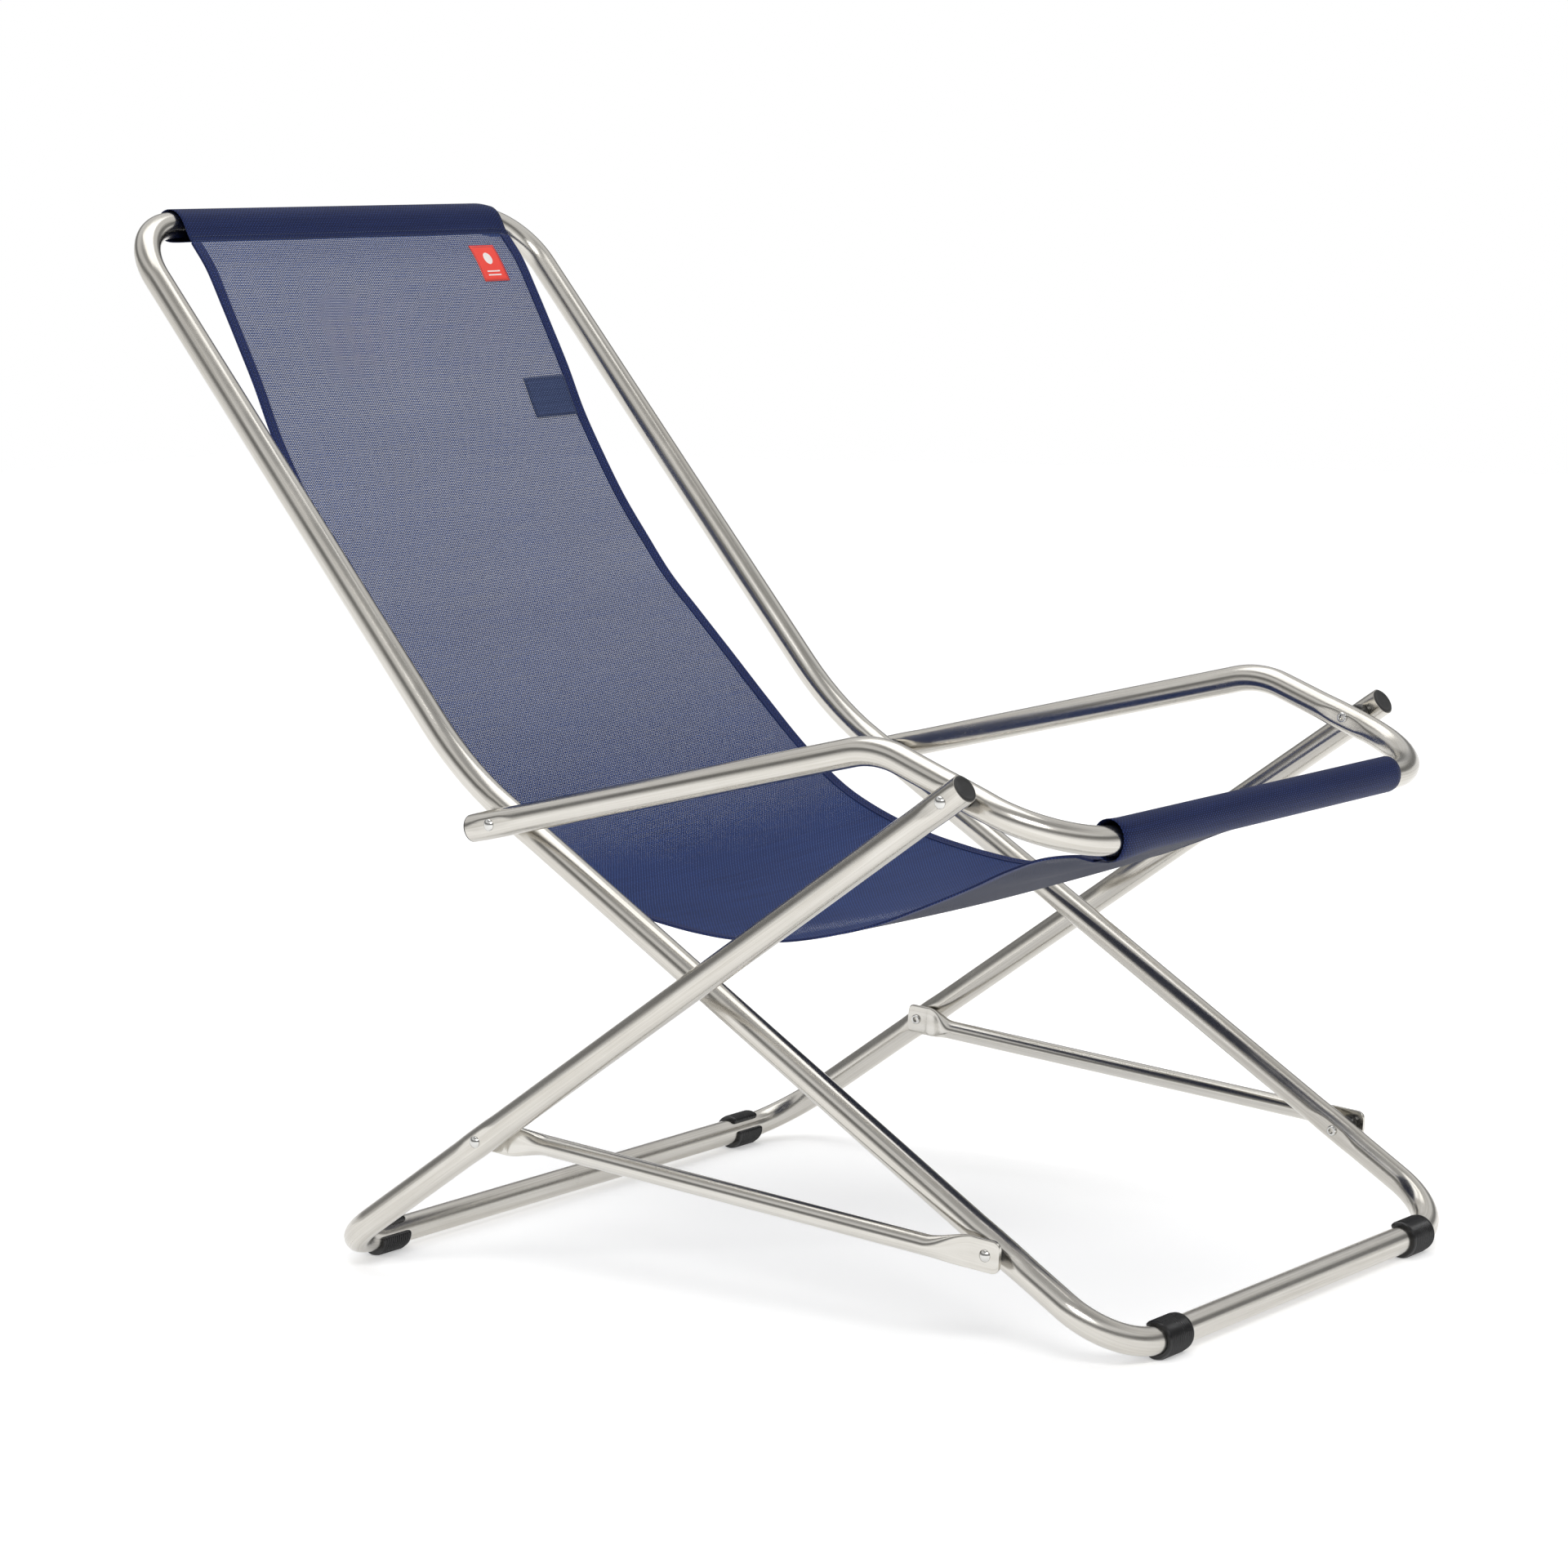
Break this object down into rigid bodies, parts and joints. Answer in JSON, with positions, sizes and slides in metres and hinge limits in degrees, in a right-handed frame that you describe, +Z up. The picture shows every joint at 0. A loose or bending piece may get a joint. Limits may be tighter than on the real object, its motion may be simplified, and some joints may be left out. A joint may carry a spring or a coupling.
{
  "type": "folding beach deck chair",
  "caption": "Folding rocking deck chair: bent aluminium tube back, arm and leg frames linked by flat-ended struts, with a mesh sling hung between top bar and front seat bar.",
  "frame": {"origin": "on the floor, at the middle of the box round the open chair", "axes": "+Z up, the sitter faces -Y, +X across the chair"},
  "size_m": [0.6322, 0.9786, 0.8449],
  "materials": {
    "frame_tube": "polished drawn tube",
    "strut_tube": "polished drawn tube, pressed ends",
    "rivet_metal": "polished",
    "rod_metal": "mill finish",
    "black_plastic": "moulded, satin",
    "sling_mesh": "woven coated mesh"
  },
  "bodies": {
    "back_frame": {"back_frame_tube": "frame_tube", "back_frame_joiner": "rod_metal", "top_sleeve": "sling_mesh", "sling_sheet": "sling_mesh", "front_foot_left": "black_plastic", "front_foot_right": "black_plastic", "arm_back_rivet_left": "rivet_metal", "arm_back_rivet_right": "rivet_metal", "strut_back_rivet_left": "rivet_metal", "strut_back_rivet_right": "rivet_metal", "arm_back_washer_left": "black_plastic", "arm_back_washer_right": "black_plastic", "strut_back_spacer_left": "black_plastic", "strut_back_spacer_right": "black_plastic"},
    "arm_frame": {"arm_frame_tube": "frame_tube", "front_sleeve": "sling_mesh", "arm_plug_left": "black_plastic", "arm_plug_right": "black_plastic", "arm_leg_rivet_tail_left": "rivet_metal", "arm_leg_rivet_tail_right": "rivet_metal"},
    "struts": {"strut_left": "strut_tube", "strut_right": "strut_tube"},
    "leg_frame": {"leg_frame_tube": "frame_tube", "leg_plug_left": "black_plastic", "leg_plug_right": "black_plastic", "rear_foot_left": "black_plastic", "rear_foot_right": "black_plastic", "arm_leg_rivet_head_left": "rivet_metal", "arm_leg_rivet_head_right": "rivet_metal", "arm_leg_spacer_left": "black_plastic", "arm_leg_spacer_right": "black_plastic", "strut_leg_rivet_left": "rivet_metal", "strut_leg_rivet_right": "rivet_metal", "strut_leg_washer_left": "black_plastic", "strut_leg_washer_right": "black_plastic"}
  },
  "joints": [
    {"name": "arm_fold", "type": "hinge", "parent": "back_frame", "child": "arm_frame", "pos_m": [0, 0.07436, 0.36673], "axis": [-1, 0, 0], "range_deg": [-5, 125]},
    {"name": "strut_fold", "type": "hinge", "parent": "back_frame", "child": "struts", "pos_m": [0, -0.37408, 0.07947], "axis": [-1, 0, 0], "range_deg": [-27, 2]},
    {"name": "leg_fold", "type": "hinge", "parent": "struts", "child": "leg_frame", "pos_m": [0, 0.07265, 0.12234], "axis": [-1, 0, 0], "range_deg": [-6, 126]}
  ],
  "couplings": [
    {"joint": "strut_fold", "follows": "arm_fold", "ratio": -0.20624},
    {"joint": "leg_fold", "follows": "arm_fold", "ratio": 1}
  ]
}
